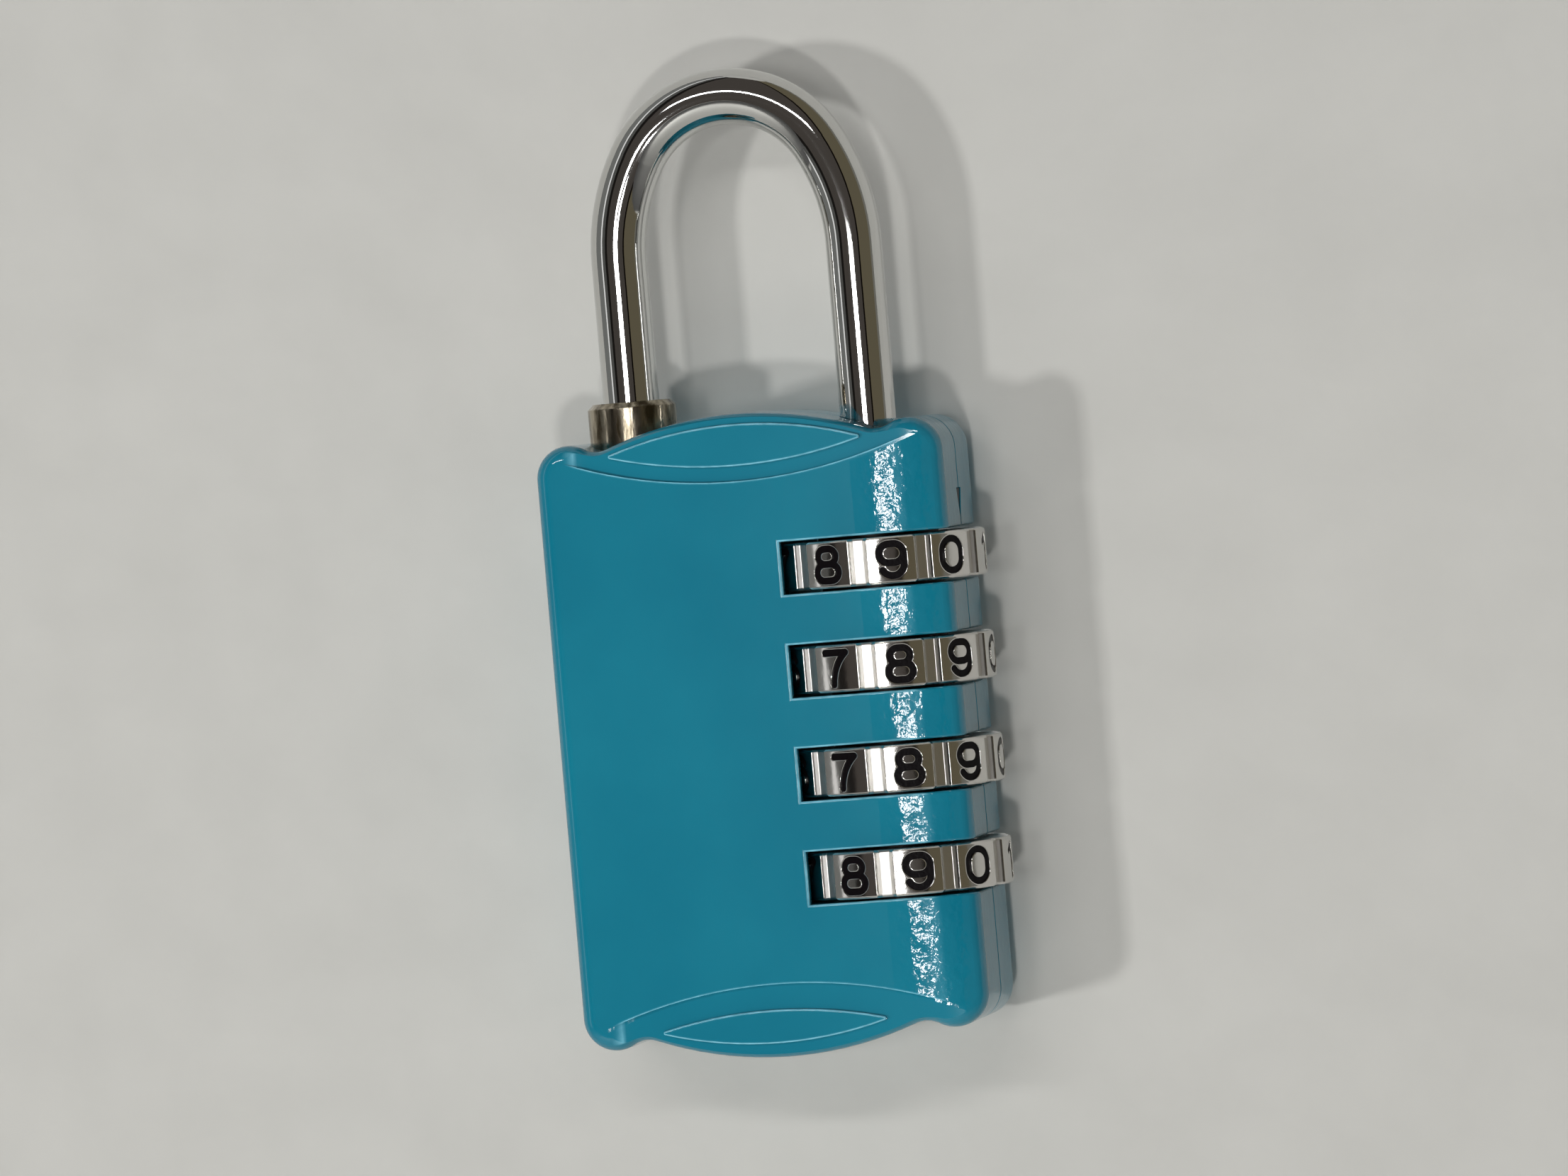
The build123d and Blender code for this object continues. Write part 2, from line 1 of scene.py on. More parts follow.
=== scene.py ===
import bmesh
import bpy
import json
import math
from mathutils import Matrix, Vector


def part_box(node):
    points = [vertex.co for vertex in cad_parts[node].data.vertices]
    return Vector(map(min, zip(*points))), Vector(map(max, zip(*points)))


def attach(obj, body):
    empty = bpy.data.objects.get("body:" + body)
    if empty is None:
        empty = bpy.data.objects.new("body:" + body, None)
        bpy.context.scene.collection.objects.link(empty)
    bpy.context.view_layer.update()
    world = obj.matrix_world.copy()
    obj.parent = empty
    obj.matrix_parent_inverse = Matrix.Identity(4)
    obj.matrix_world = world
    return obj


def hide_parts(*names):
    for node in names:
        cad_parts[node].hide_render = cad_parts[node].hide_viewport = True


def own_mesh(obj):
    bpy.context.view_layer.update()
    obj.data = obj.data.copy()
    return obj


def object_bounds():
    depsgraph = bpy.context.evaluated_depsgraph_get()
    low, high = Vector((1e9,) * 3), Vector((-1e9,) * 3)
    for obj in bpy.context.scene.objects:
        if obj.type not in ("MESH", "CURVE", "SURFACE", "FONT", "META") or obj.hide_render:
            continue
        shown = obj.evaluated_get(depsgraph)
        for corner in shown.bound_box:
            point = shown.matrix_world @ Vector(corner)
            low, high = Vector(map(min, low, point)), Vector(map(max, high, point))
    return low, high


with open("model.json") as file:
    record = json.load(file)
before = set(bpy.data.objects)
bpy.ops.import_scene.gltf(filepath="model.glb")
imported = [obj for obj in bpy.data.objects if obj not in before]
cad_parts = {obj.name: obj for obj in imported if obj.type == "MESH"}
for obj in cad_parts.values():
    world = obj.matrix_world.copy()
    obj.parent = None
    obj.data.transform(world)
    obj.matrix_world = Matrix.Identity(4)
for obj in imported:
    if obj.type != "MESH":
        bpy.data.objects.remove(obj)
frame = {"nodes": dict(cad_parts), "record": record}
cad_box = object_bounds()
nodes = frame["nodes"]
mm = 0.001

# The photograph's frame and the camera that took it, in degrees and metres
image_width_px = 2212
image_height_px = 1659
camera_azimuth = 12.84
camera_elevation = 1.16
camera_roll = -4.92
camera_distance = 620 * mm
camera_scale_px_per_mm = 19.316
camera_aim = Vector((0, 0, -31.5)) * mm
aim_px = (1075.0, 782.4)
sensor_width_mm = 36.0

# Index marks cut into the shells at the parting line, and the enamel in them
mark_width = 1.6 * mm
mark_length = 2.3 * mm
mark_gap = 0.67 * mm
mark_depth = 0.25 * mm
mark_fill = 0.16 * mm
mark_fit = 0.02 * mm

# Axis of the dials, in the long leg's middle
dial_axis_x = 8.8 * mm

# Middle of the case, and the arc that bounds the sunken bands, measured from it
case_middle_z = -44.461 * mm
band_arc_z = 18.25 * mm
band_arc_r = 36 * mm

# Pale edges, partly thinned paint and partly a painted highlight of light catching the edge fillets: depth
# from the case's middle where they begin, and half width of the field that has them
wear_and_highlight_depth_start = 6.2 * mm
wear_and_highlight_depth_full = 6.3 * mm
wear_and_highlight_field_full = 11.6 * mm
wear_and_highlight_field_end = 12.8 * mm

# Orange peel: across the case, it grows at the rolled edge and fades down the side
peel_start = 8.5 * mm
peel_full = 10.5 * mm
side_start = 13.5 * mm
side_full = 14.8 * mm

# Stage: a sheet of paper close behind the lock, a floor below it, and the room that the chrome mirrors
paper_gap = 0.15 * mm
paper_half_width = 450 * mm
floor_drop = 420 * mm
floor_half_width = 1500 * mm
lamp_distance = 1000 * mm
room_radius = 1600 * mm
room_height = 9000 * mm


def linear(hex_colour, alpha=1.0):
    """Linear colour from an sRGB hex value."""
    parts = [int(hex_colour[place : place + 2], 16) / 255 for place in (1, 3, 5)]
    made = [value / 12.92 if value <= 0.04045 else ((value + 0.055) / 1.055) ** 2.4 for value in parts]
    return (*made, alpha)


def add_node(tree, kind, inputs=None, **settings):
    """Adds a node with its settings; an input is a value or another node's output."""
    made = tree.nodes.new(kind)
    for name, value in settings.items():
        setattr(made, name, value)
    for name, value in (inputs or {}).items():
        if isinstance(value, bpy.types.NodeSocket):
            tree.links.new(value, made.inputs[name])
        else:
            made.inputs[name].default_value = value
    return made


def new_material(name):
    """An empty node material and its tree."""
    material = bpy.data.materials.new(name)
    material.use_nodes = True
    material.node_tree.nodes.clear()
    return material, material.node_tree


def per_mm(size_mm):
    """Texture scale that gives a feature of this size in millimetres."""
    return 1 / (size_mm * mm)


def paint_wear_and_edge_highlight(tree, place, surface, upright):
    """How pale the edges of the two faces are painted, in uneven patches: partly thinned paint over the sharp
    and turned edges, partly a painted highlight standing in for light catching the edge fillets.
    """
    rounded = add_node(tree, "ShaderNodeBevel", {"Radius": 0.3 * mm}, samples=8)
    agreement = add_node(
        tree, "ShaderNodeVectorMath", {0: rounded.outputs["Normal"], 1: surface}, operation="DOT_PRODUCT"
    )
    sharp = add_node(
        tree, "ShaderNodeMapRange", {"Value": agreement.outputs["Value"], "From Min": 0.985, "From Max": 0.85}
    )
    turned = add_node(tree, "ShaderNodeMapRange", {"Value": upright, "From Min": 0.995, "From Max": 0.92})
    edge = add_node(
        tree, "ShaderNodeMath", {0: sharp.outputs["Result"], 1: turned.outputs["Result"]}, operation="MAXIMUM"
    )
    across = add_node(tree, "ShaderNodeSeparateXYZ", {"Vector": place})
    off_middle = add_node(tree, "ShaderNodeMath", {0: across.outputs["Y"]}, operation="ABSOLUTE")
    face_level = add_node(
        tree,
        "ShaderNodeMapRange",
        {"Value": off_middle.outputs[0], "From Min": wear_and_highlight_depth_start, "From Max": wear_and_highlight_depth_full},
    )
    off_axis = add_node(tree, "ShaderNodeMath", {0: across.outputs["X"]}, operation="ABSOLUTE")
    in_field = add_node(
        tree,
        "ShaderNodeMapRange",
        {"Value": off_axis.outputs[0], "From Min": wear_and_highlight_field_end, "From Max": wear_and_highlight_field_full},
    )
    edge_on_face = add_node(
        tree, "ShaderNodeMath", {0: edge.outputs[0], 1: face_level.outputs["Result"]}, operation="MULTIPLY"
    )
    edge_in_field = add_node(
        tree,
        "ShaderNodeMath",
        {0: edge_on_face.outputs[0], 1: in_field.outputs["Result"]},
        operation="MULTIPLY",
    )
    patches = add_node(tree, "ShaderNodeTexNoise", {"Vector": place, "Scale": per_mm(1.1), "Detail": 3.0})
    patch_range = add_node(
        tree,
        "ShaderNodeMapRange",
        {
            "Value": patches.outputs["Fac"],
            "From Min": 0.35,
            "From Max": 0.65,
            "To Min": 0.55,
            "To Max": 1.0,
        },
    )
    thinned_and_highlit = add_node(
        tree,
        "ShaderNodeMath",
        {0: edge_in_field.outputs[0], 1: patch_range.outputs["Result"]},
        operation="MULTIPLY",
    )
    return thinned_and_highlit.outputs[0]


def paint_skin(tree, place, surface, upright):
    """Normal of the paint film: orange peel over the rolled edge, and level in the sunken bands."""
    swell = add_node(tree, "ShaderNodeTexNoise", {"Vector": place, "Scale": per_mm(1.6), "Detail": 1.0})
    peel = add_node(tree, "ShaderNodeTexNoise", {"Vector": place, "Scale": per_mm(0.5), "Detail": 2.0})
    skin = add_node(
        tree,
        "ShaderNodeMath",
        {0: peel.outputs["Fac"], 1: 0.45, 2: swell.outputs["Fac"]},
        operation="MULTIPLY_ADD",
    )
    across = add_node(tree, "ShaderNodeSeparateXYZ", {"Vector": place})
    thick = add_node(
        tree,
        "ShaderNodeMapRange",
        {
            "Value": across.outputs["X"],
            "From Min": peel_start,
            "From Max": peel_full,
            "To Min": 0.06,
            "To Max": 1.0,
        },
    )
    side = add_node(
        tree,
        "ShaderNodeMapRange",
        {
            "Value": across.outputs["X"],
            "From Min": side_start,
            "From Max": side_full,
            "To Min": 1.0,
            "To Max": 0.2,
        },
    )
    build_up = add_node(
        tree, "ShaderNodeMath", {0: thick.outputs["Result"], 1: side.outputs["Result"]}, operation="MULTIPLY"
    )
    height = add_node(
        tree, "ShaderNodeMath", {0: skin.outputs[0], 1: build_up.outputs[0]}, operation="MULTIPLY"
    )
    from_middle = add_node(
        tree, "ShaderNodeMath", {0: across.outputs["Z"], 1: case_middle_z}, operation="SUBTRACT"
    )
    end_distance = add_node(tree, "ShaderNodeMath", {0: from_middle.outputs[0]}, operation="ABSOLUTE")
    on_face = add_node(
        tree, "ShaderNodeCombineXYZ", {"X": across.outputs["X"], "Z": end_distance.outputs[0]}
    )
    from_arc_centre = add_node(
        tree,
        "ShaderNodeVectorMath",
        {0: on_face.outputs[0], 1: (0, 0, band_arc_z + band_arc_r)},
        operation="DISTANCE",
    )
    in_band = add_node(
        tree, "ShaderNodeMath", {0: from_arc_centre.outputs["Value"], 1: band_arc_r}, operation="LESS_THAN"
    )
    front = add_node(tree, "ShaderNodeMath", {0: upright, 1: 0.9}, operation="GREATER_THAN")
    levelled = add_node(
        tree, "ShaderNodeMath", {0: in_band.outputs[0], 1: front.outputs[0]}, operation="MULTIPLY"
    )
    straight = add_node(tree, "ShaderNodeVectorMath", {0: surface, 1: (0.1, 1, 1)}, operation="MULTIPLY")
    film = add_node(
        tree,
        "ShaderNodeMix",
        {"Factor": levelled.outputs[0], "A": surface, "B": straight.outputs["Vector"]},
        data_type="VECTOR",
    )
    film_normal = add_node(tree, "ShaderNodeVectorMath", {0: film.outputs["Result"]}, operation="NORMALIZE")
    peel_bump = add_node(
        tree,
        "ShaderNodeBump",
        {
            "Height": height.outputs[0],
            "Strength": 1.0,
            "Distance": 0.08 * mm,
            "Normal": film_normal.outputs["Vector"],
        },
    )
    skin_normal = add_node(
        tree,
        "ShaderNodeMix",
        {
            "Factor": levelled.outputs[0],
            "A": peel_bump.outputs["Normal"],
            "B": film_normal.outputs["Vector"],
        },
        data_type="VECTOR",
    )
    return skin_normal.outputs["Result"]


def paint_finish():
    """Teal stove enamel on zinc die casting: glossy, with orange peel, and pale along the edges, partly from
    thinned paint and partly as a painted highlight of light catching the edge fillets.
    """
    material, tree = new_material("teal_stove_enamel_on_zinc")
    place = add_node(tree, "ShaderNodeTexCoord").outputs["Object"]
    surface = add_node(tree, "ShaderNodeNewGeometry").outputs["Normal"]
    lean = add_node(tree, "ShaderNodeSeparateXYZ", {"Vector": surface})
    upright = add_node(tree, "ShaderNodeMath", {0: lean.outputs["Y"]}, operation="ABSOLUTE").outputs[0]
    tone = add_node(tree, "ShaderNodeTexNoise", {"Vector": place, "Scale": per_mm(14), "Detail": 3.0})
    tone_range = add_node(
        tree, "ShaderNodeMapRange", {"Value": tone.outputs["Fac"], "From Min": 0.35, "From Max": 0.65}
    )
    base = add_node(tree, "ShaderNodeValToRGB", {"Fac": tone_range.outputs["Result"]})
    base.color_ramp.elements[0].color = linear("#0d6f85")
    base.color_ramp.elements[1].color = linear("#13768b")
    # Pale teal mixed in along the edges: thinned paint and a painted highlight of light on the edge fillets
    worn_and_highlit = add_node(
        tree,
        "ShaderNodeMix",
        {
            "Factor": paint_wear_and_edge_highlight(tree, place, surface, upright),
            "A": base.outputs["Color"],
            "B": linear("#7cc4d8"),
        },
        data_type="RGBA",
    )
    shader = add_node(
        tree,
        "ShaderNodeBsdfPrincipled",
        {
            "Base Color": worn_and_highlit.outputs["Result"],
            "Roughness": 0.09,
            "IOR": 1.6,
            "Normal": paint_skin(tree, place, surface, upright),
        },
    )
    add_node(tree, "ShaderNodeOutputMaterial", {"Surface": shader.outputs["BSDF"]})
    return material


def chrome_finish(name, colour, roughness, wave_mm, wave_height_mm, edge_mm, groove_mm=None):
    """Bright plating on a polished base: a mirror with the base's slight waviness, built up round over edges.

    Below groove_mm from a dial's axis the base missed the buffing wheel and stays dull.
    """
    material, tree = new_material(name)
    place = add_node(tree, "ShaderNodeTexCoord").outputs["Object"]
    wave = add_node(tree, "ShaderNodeTexNoise", {"Vector": place, "Scale": per_mm(wave_mm), "Detail": 4.0})
    rounded = add_node(tree, "ShaderNodeBevel", {"Radius": edge_mm * mm}, samples=8)
    bump = add_node(
        tree,
        "ShaderNodeBump",
        {
            "Height": wave.outputs["Fac"],
            "Strength": 1.0,
            "Distance": wave_height_mm * mm,
            "Normal": rounded.outputs["Normal"],
        },
    )
    if groove_mm:
        off_axis = add_node(
            tree, "ShaderNodeVectorMath", {0: place, 1: (dial_axis_x, 0, 0)}, operation="SUBTRACT"
        )
        flat = add_node(
            tree, "ShaderNodeVectorMath", {0: off_axis.outputs["Vector"], 1: (1, 1, 0)}, operation="MULTIPLY"
        )
        radius = add_node(tree, "ShaderNodeVectorMath", {0: flat.outputs["Vector"]}, operation="LENGTH")
        polish = add_node(
            tree,
            "ShaderNodeMapRange",
            {
                "Value": radius.outputs["Value"],
                "From Min": (groove_mm - 0.1) * mm,
                "From Max": groove_mm * mm,
                "To Min": 0.28,
                "To Max": roughness,
            },
        )
        roughness = polish.outputs["Result"]
    shader = add_node(
        tree,
        "ShaderNodeBsdfPrincipled",
        {
            "Base Color": linear(colour),
            "Metallic": 1.0,
            "Roughness": roughness,
            "Normal": bump.outputs["Normal"],
        },
    )
    add_node(tree, "ShaderNodeOutputMaterial", {"Surface": shader.outputs["BSDF"]})
    return material


def nickel_finish():
    """Worn nickel plate on a turned brass collar: tarnished brown in streaks along its length."""
    material, tree = new_material("worn_nickel_plate_on_brass")
    place = add_node(tree, "ShaderNodeTexCoord").outputs["Object"]
    drawn = add_node(tree, "ShaderNodeMapping", {"Vector": place, "Scale": (1, 1, 0.25)})
    streaks = add_node(
        tree, "ShaderNodeTexNoise", {"Vector": drawn.outputs["Vector"], "Scale": per_mm(0.7), "Detail": 4.0}
    )
    tarnish = add_node(tree, "ShaderNodeValToRGB", {"Fac": streaks.outputs["Fac"]})
    tarnish.color_ramp.elements[0].position = 0.36
    tarnish.color_ramp.elements[0].color = linear("#4f4636")
    tarnish.color_ramp.elements[1].position = 0.6
    tarnish.color_ramp.elements[1].color = linear("#b0a795")
    dull = add_node(
        tree,
        "ShaderNodeMapRange",
        {"Value": streaks.outputs["Fac"], "From Min": 0.35, "From Max": 0.65, "To Min": 0.3, "To Max": 0.12},
    )
    rounded = add_node(tree, "ShaderNodeBevel", {"Radius": 0.15 * mm}, samples=8)
    bump = add_node(
        tree,
        "ShaderNodeBump",
        {
            "Height": streaks.outputs["Fac"],
            "Strength": 1.0,
            "Distance": 0.03 * mm,
            "Normal": rounded.outputs["Normal"],
        },
    )
    shader = add_node(
        tree,
        "ShaderNodeBsdfPrincipled",
        {
            "Base Color": tarnish.outputs["Color"],
            "Metallic": 1.0,
            "Roughness": dull.outputs["Result"],
            "Normal": bump.outputs["Normal"],
        },
    )
    add_node(tree, "ShaderNodeOutputMaterial", {"Surface": shader.outputs["BSDF"]})
    return material


def enamel_finish():
    """Black enamel wiped into the engraving: dark, a little dull where it shrank."""
    material, tree = new_material("black_enamel_fill")
    place = add_node(tree, "ShaderNodeTexCoord").outputs["Object"]
    pits = add_node(tree, "ShaderNodeTexNoise", {"Vector": place, "Scale": per_mm(0.25), "Detail": 2.0})
    bump = add_node(
        tree, "ShaderNodeBump", {"Height": pits.outputs["Fac"], "Strength": 1.0, "Distance": 0.02 * mm}
    )
    shader = add_node(
        tree,
        "ShaderNodeBsdfPrincipled",
        {
            "Base Color": linear("#0b080a"),
            "Roughness": 0.3,
            "Specular IOR Level": 0.12,
            "Normal": bump.outputs["Normal"],
        },
    )
    add_node(tree, "ShaderNodeOutputMaterial", {"Surface": shader.outputs["BSDF"]})
    return material


finishes = {
    "painted_zinc": paint_finish(),
    "chrome": chrome_finish("chrome_plate_on_steel", "#d0d0ce", 0.05, 1.2, 0.003, 0.05),
    "dial_chrome": chrome_finish("chrome_plate_on_zinc", "#cfcdc9", 0.12, 0.8, 0.008, 0.11, 7.68),
    "nickel": nickel_finish(),
    "black_enamel": enamel_finish(),
    # The sleeves are near black: blackened steel, and also a painted shade that keeps the gaps between the
    # dials dark
    "dark_steel": chrome_finish("blackened_steel_dark_as_gap_shade", "#1c1b1b", 0.4, 0.4, 0.006, 0.05),
    "spring_steel": chrome_finish("bright_spring_steel", "#9a9a98", 0.25, 0.3, 0.004, 0.05),
    "steel": chrome_finish("plain_steel", "#8e8e8c", 0.3, 0.3, 0.004, 0.05),
}
slot_of = {part["node"]: part["material_slot"] for part in frame["record"]["subparts"]}
for name, cad in nodes.items():
    cad.data.materials.clear()
    cad.data.materials.append(finishes[slot_of[name]])


def index_mark(name, tip, length):
    """Black enamel wiped into one of the pointed marks at the parting line."""
    half = mark_width / 2 - mark_fit
    mesh = bpy.data.meshes.new(name)
    shape = bmesh.new()
    corners = [tip, tip + Vector((0, half, length)), tip + Vector((0, -half, length))]
    floor = shape.faces.new([shape.verts.new(corner) for corner in corners])
    raised = bmesh.ops.extrude_face_region(shape, geom=[floor])
    top = [made for made in raised["geom"] if isinstance(made, bmesh.types.BMVert)]
    bmesh.ops.translate(shape, verts=top, vec=(mark_fill, 0, 0))
    bmesh.ops.recalc_face_normals(shape, faces=shape.faces[:])
    shape.to_mesh(mesh)
    shape.free()
    mesh.materials.append(finishes["black_enamel"])
    mark = bpy.data.objects.new(name, mesh)
    bpy.context.scene.collection.objects.link(mark)
    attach(mark, "case")
    return mark


mark_floor_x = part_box("front_shell")[1].x - mark_depth + mark_fit
upper_tip = Vector((mark_floor_x, 0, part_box("dial_1")[1].z + mark_gap))
lower_tip = Vector((mark_floor_x, 0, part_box("dial_4")[0].z - mark_gap))
index_mark("upper_index_mark", upper_tip, mark_length)
index_mark("lower_index_mark", lower_tip, -mark_length)


def reset_coil():
    """The reset spring, copied with its doubled points merged, in place of the original and riding on the
    case.
    """
    mesh = nodes["reset_spring"].data.copy()
    shape = bmesh.new()
    shape.from_mesh(mesh)
    bmesh.ops.remove_doubles(shape, verts=shape.verts[:], dist=0.001 * mm)
    shape.to_mesh(mesh)
    shape.free()
    coil = bpy.data.objects.new("reset_coil", mesh)
    bpy.context.scene.collection.objects.link(coil)
    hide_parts("reset_spring")
    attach(coil, "case")
    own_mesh(coil)
    return coil


reset_coil()


def stage_plane(name, corners, material):
    """A flat stage piece through four corners."""
    mesh = bpy.data.meshes.new(name)
    shape = bmesh.new()
    shape.faces.new([shape.verts.new(corner) for corner in corners])
    shape.to_mesh(mesh)
    shape.free()
    mesh.materials.append(material)
    made = bpy.data.objects.new(name, mesh)
    bpy.context.scene.collection.objects.link(made)
    return made


def paper_finish():
    """White paper, matt and faintly creased. Light from behind passes it, and so does a look from behind."""
    material, tree = new_material("white_paper")
    place = add_node(tree, "ShaderNodeTexCoord").outputs["Object"]
    mottle = add_node(tree, "ShaderNodeTexNoise", {"Vector": place, "Scale": per_mm(9), "Detail": 4.0})
    tone = add_node(tree, "ShaderNodeValToRGB", {"Fac": mottle.outputs["Fac"]})
    tone.color_ramp.elements[0].position = 0.3
    tone.color_ramp.elements[0].color = linear("#b9b8b3")
    tone.color_ramp.elements[1].position = 0.7
    tone.color_ramp.elements[1].color = linear("#bdbcb7")
    creases = add_node(tree, "ShaderNodeTexNoise", {"Vector": place, "Scale": per_mm(35), "Detail": 5.0})
    crumple = add_node(
        tree, "ShaderNodeBump", {"Height": creases.outputs["Fac"], "Strength": 1.0, "Distance": 1.2 * mm}
    )
    sheet = add_node(
        tree, "ShaderNodeBsdfDiffuse", {"Color": tone.outputs["Color"], "Normal": crumple.outputs["Normal"]}
    )
    clear = add_node(tree, "ShaderNodeBsdfTransparent")
    behind = add_node(tree, "ShaderNodeNewGeometry").outputs["Backfacing"]
    shadow_ray = add_node(tree, "ShaderNodeLightPath").outputs["Is Shadow Ray"]
    passes = add_node(tree, "ShaderNodeMath", {0: behind, 1: shadow_ray}, operation="MAXIMUM")
    shader = add_node(
        tree, "ShaderNodeMixShader", {0: passes.outputs[0], 1: sheet.outputs[0], 2: clear.outputs[0]}
    )
    add_node(tree, "ShaderNodeOutputMaterial", {"Surface": shader.outputs[0]})
    return material


def floor_finish():
    """Pale matt floor, painted. Its own pale glow is for the camera alone and lights nothing."""
    material, tree = new_material("pale_floor")
    place = add_node(tree, "ShaderNodeTexCoord").outputs["Object"]
    mottle = add_node(tree, "ShaderNodeTexNoise", {"Vector": place, "Scale": per_mm(40), "Detail": 3.0})
    tone = add_node(tree, "ShaderNodeValToRGB", {"Fac": mottle.outputs["Fac"]})
    tone.color_ramp.elements[0].color = linear("#c8c7c2")
    tone.color_ramp.elements[1].color = linear("#cccbc6")
    matt = add_node(tree, "ShaderNodeBsdfDiffuse", {"Color": tone.outputs["Color"]})
    glow = add_node(tree, "ShaderNodeEmission", {"Color": tone.outputs["Color"], "Strength": 1.0})
    seen = add_node(tree, "ShaderNodeLightPath").outputs["Is Camera Ray"]
    share = add_node(tree, "ShaderNodeMath", {0: seen, 1: 0.75}, operation="MULTIPLY")
    shader = add_node(
        tree, "ShaderNodeMixShader", {0: share.outputs[0], 1: matt.outputs[0], 2: glow.outputs[0]}
    )
    add_node(tree, "ShaderNodeOutputMaterial", {"Surface": shader.outputs[0]})
    return material


low, high = cad_box
paper_y = high.y + paper_gap
floor_z = low.z - floor_drop
stage_plane(
    "paper",
    [
        (-paper_half_width, paper_y, floor_z),
        (paper_half_width, paper_y, floor_z),
        (paper_half_width, paper_y, paper_half_width),
        (-paper_half_width, paper_y, paper_half_width),
    ],
    paper_finish(),
)
stage_plane(
    "floor",
    [
        (-floor_half_width, -floor_half_width, floor_z),
        (floor_half_width, -floor_half_width, floor_z),
        (floor_half_width, floor_half_width, floor_z),
        (-floor_half_width, floor_half_width, floor_z),
    ],
    floor_finish(),
)


def direction(azimuth, elevation):
    """Unit vector from the lock, with azimuth 0 to the front and positive towards the dial side."""
    turn = math.radians(azimuth)
    rise = math.radians(elevation)
    return Vector((math.sin(turn) * math.cos(rise), -math.cos(turn) * math.cos(rise), math.sin(rise)))


def room_finish(colour):
    """A stretch of room: an even glow that only mirrors see."""
    material, tree = new_material("room_" + colour[1:])
    glow = add_node(tree, "ShaderNodeEmission", {"Color": linear(colour), "Strength": 1.0})
    add_node(tree, "ShaderNodeOutputMaterial", {"Surface": glow.outputs[0]})
    return material


def room_card(name, start_azimuth, end_azimuth, colour):
    """A stretch of the room's walls, mirrored by chrome and paint and not seen or lighting otherwise."""
    steps = 12
    start = camera_aim + direction(start_azimuth, 0) * room_radius
    mesh = bpy.data.meshes.new(name)
    shape = bmesh.new()
    edge = shape.edges.new([shape.verts.new((start.x, start.y, height)) for height in (floor_z, room_height)])
    bmesh.ops.spin(
        shape,
        geom=[*edge.verts, edge],
        cent=camera_aim,
        axis=(0, 0, 1),
        angle=math.radians(end_azimuth - start_azimuth),
        steps=steps,
    )
    shape.to_mesh(mesh)
    shape.free()
    mesh.materials.append(room_finish(colour))
    made = bpy.data.objects.new(name, mesh)
    bpy.context.scene.collection.objects.link(made)
    made.visible_camera = False
    made.visible_diffuse = False
    made.visible_shadow = False
    made.visible_transmission = False
    return made


# The room from the plain side round to the dial side, as the chrome mirrors it
room_stretches = [
    ("grey_wall", -92, -65, "#7c7d7b"),
    ("bright_window", -65, -59, "#ffffff"),
    ("dim_corner", -59, -46, "#5a5a58"),
    ("doorway", -46, -36, "#1d1b19"),
    ("near_ceiling", -36, 29, "#4c4743"),
    ("dark_gap", 29, 35, "#100c08"),
    ("brown_shelf", 35, 82, "#68614f"),
    ("grey_corner", 82, 92, "#7a7972"),
]
for stretch in room_stretches:
    room_card(*stretch)


def add_lamp(name, azimuth, elevation, size, watts):
    """A soft white rectangular lamp that looks at the lock."""
    lamp = bpy.data.lights.new(name, "AREA")
    lamp.shape = "RECTANGLE"
    lamp.size, lamp.size_y = size
    lamp.energy = watts
    holder = bpy.data.objects.new(name, lamp)
    bpy.context.scene.collection.objects.link(holder)
    towards = direction(azimuth, elevation)
    holder.location = camera_aim + towards * lamp_distance
    holder.rotation_euler = towards.to_track_quat("Z", "Y").to_euler()
    holder.visible_camera = False
    return holder


# Azimuth and elevation in degrees, width and height in metres, and watts
add_lamp("ceiling_lamp", 6, -15, (0.06, 0.05), 2.4)
add_lamp("window_left", -5.5, -1, (0.087, 0.12), 0.9)
add_lamp("window_right", 5.25, -1, (0.061, 0.12), 0.6)
add_lamp("window_top", 0, 2, (0.12, 0.03), 0.3)
add_lamp("far_lamp", -32, -8, (0.07, 0.07), 3.2).visible_glossy = False
add_lamp("low_panel", -6, 22, (0.6, 0.06), 2.2)
add_lamp("back_panel", 205, 25, (0.6, 0.6), 8.0)

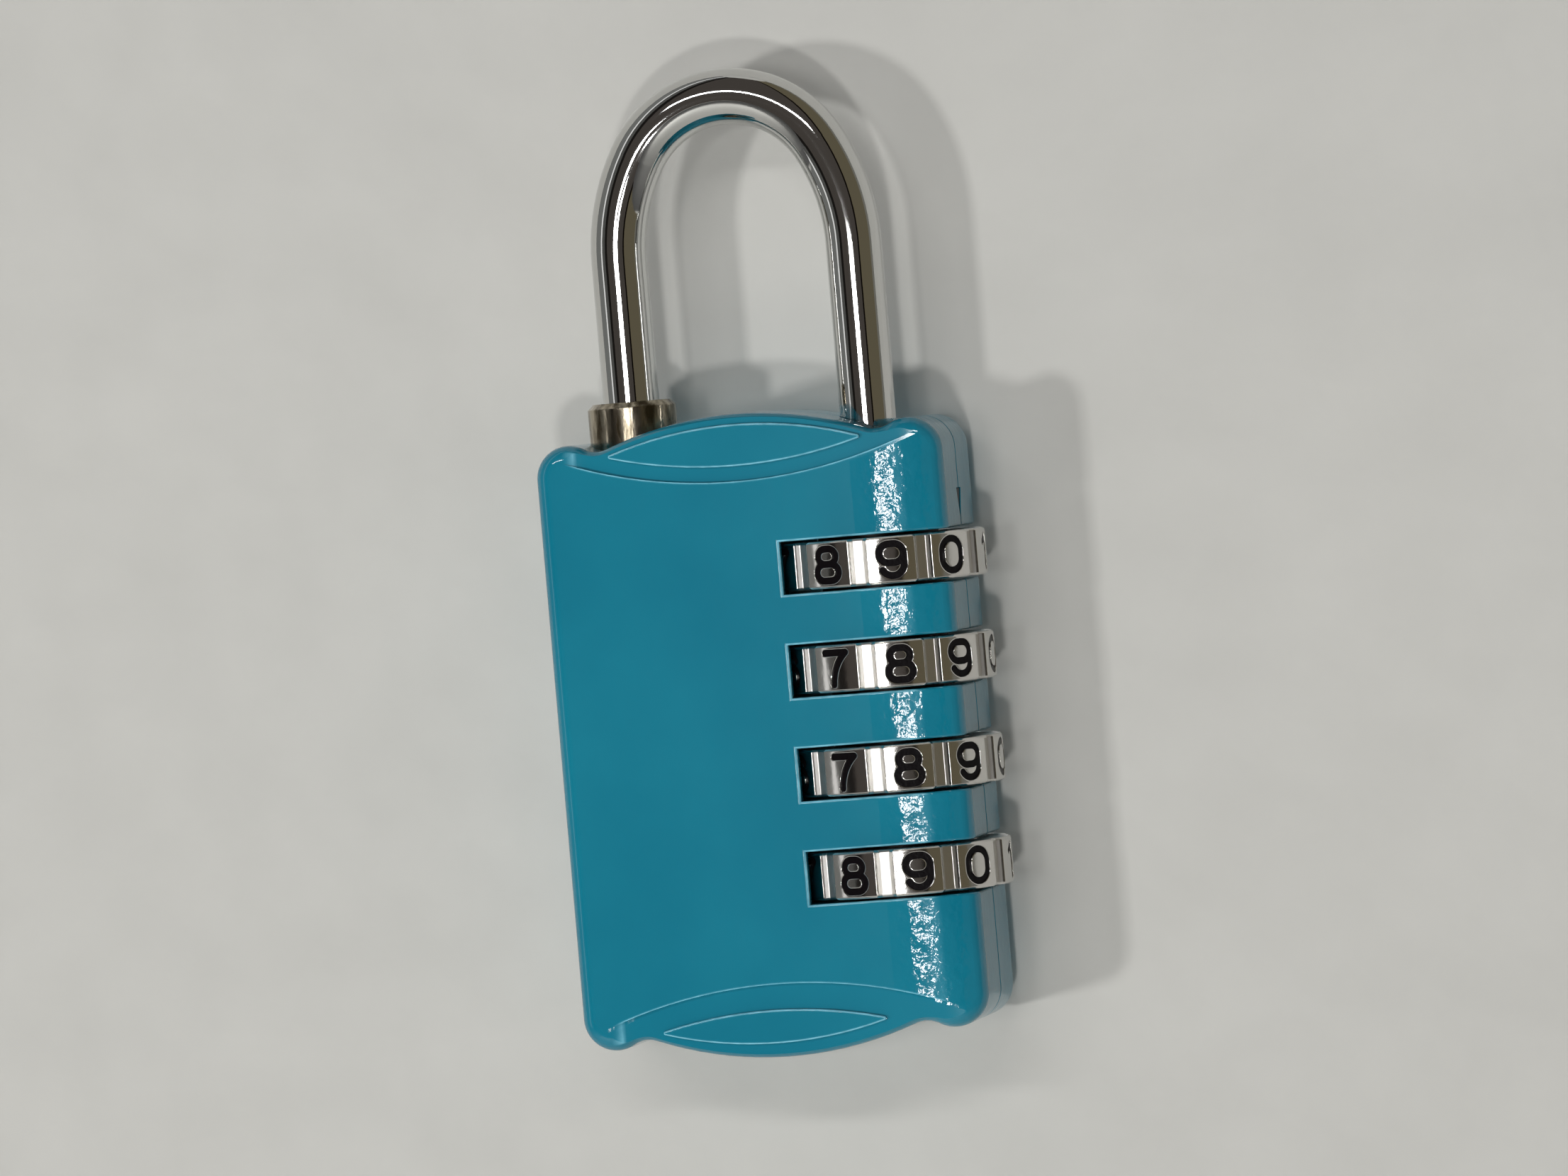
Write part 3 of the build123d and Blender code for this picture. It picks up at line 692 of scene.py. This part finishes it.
# World: a little ambient light, and a pale room behind everything for the camera and mirrors
world = bpy.data.worlds.new("room_light")
bpy.context.scene.world = world
world.use_nodes = True
world_tree = world.node_tree
world_tree.nodes.clear()
ray = add_node(world_tree, "ShaderNodeLightPath")
seen = add_node(
    world_tree,
    "ShaderNodeMath",
    {0: ray.outputs["Is Camera Ray"], 1: ray.outputs["Is Glossy Ray"]},
    operation="MAXIMUM",
)
seen_through = add_node(
    world_tree,
    "ShaderNodeMath",
    {0: seen.outputs[0], 1: ray.outputs["Is Transmission Ray"]},
    operation="MAXIMUM",
)
ambient = add_node(world_tree, "ShaderNodeBackground", {"Color": linear("#f6f7ff"), "Strength": 0.1})
pale = add_node(world_tree, "ShaderNodeBackground", {"Color": linear("#c3c2bd"), "Strength": 1.0})
sky = add_node(
    world_tree,
    "ShaderNodeMixShader",
    {0: seen_through.outputs[0], 1: ambient.outputs[0], 2: pale.outputs[0]},
)
add_node(world_tree, "ShaderNodeOutputWorld", {"Surface": sky.outputs[0]})

# Camera: aimed so that the lock's middle falls on its place in the photograph
backward = direction(camera_azimuth, camera_elevation)
rightward = Vector((math.cos(math.radians(camera_azimuth)), math.sin(math.radians(camera_azimuth)), 0))
upward = backward.cross(rightward)
roll = math.radians(camera_roll)
image_right = rightward * math.cos(roll) + upward * math.sin(roll)
image_up = upward * math.cos(roll) - rightward * math.sin(roll)
px = mm / camera_scale_px_per_mm
frame_centre = (
    camera_aim
    + image_right * (image_width_px / 2 - aim_px[0]) * px
    - image_up * (image_height_px / 2 - aim_px[1]) * px
)
camera_data = bpy.data.cameras.new("camera")
camera_data.sensor_width = sensor_width_mm
camera_data.lens = sensor_width_mm * camera_scale_px_per_mm * (camera_distance / mm) / image_width_px
camera_data.clip_start = 0.01
camera_data.clip_end = 10
camera = bpy.data.objects.new("camera", camera_data)
bpy.context.scene.collection.objects.link(camera)
facing = Matrix((image_right, image_up, backward)).transposed()
camera.matrix_world = Matrix.Translation(frame_centre + backward * camera_distance) @ facing.to_4x4()
bpy.context.scene.camera = camera
bpy.context.scene.view_settings.view_transform = "Standard"
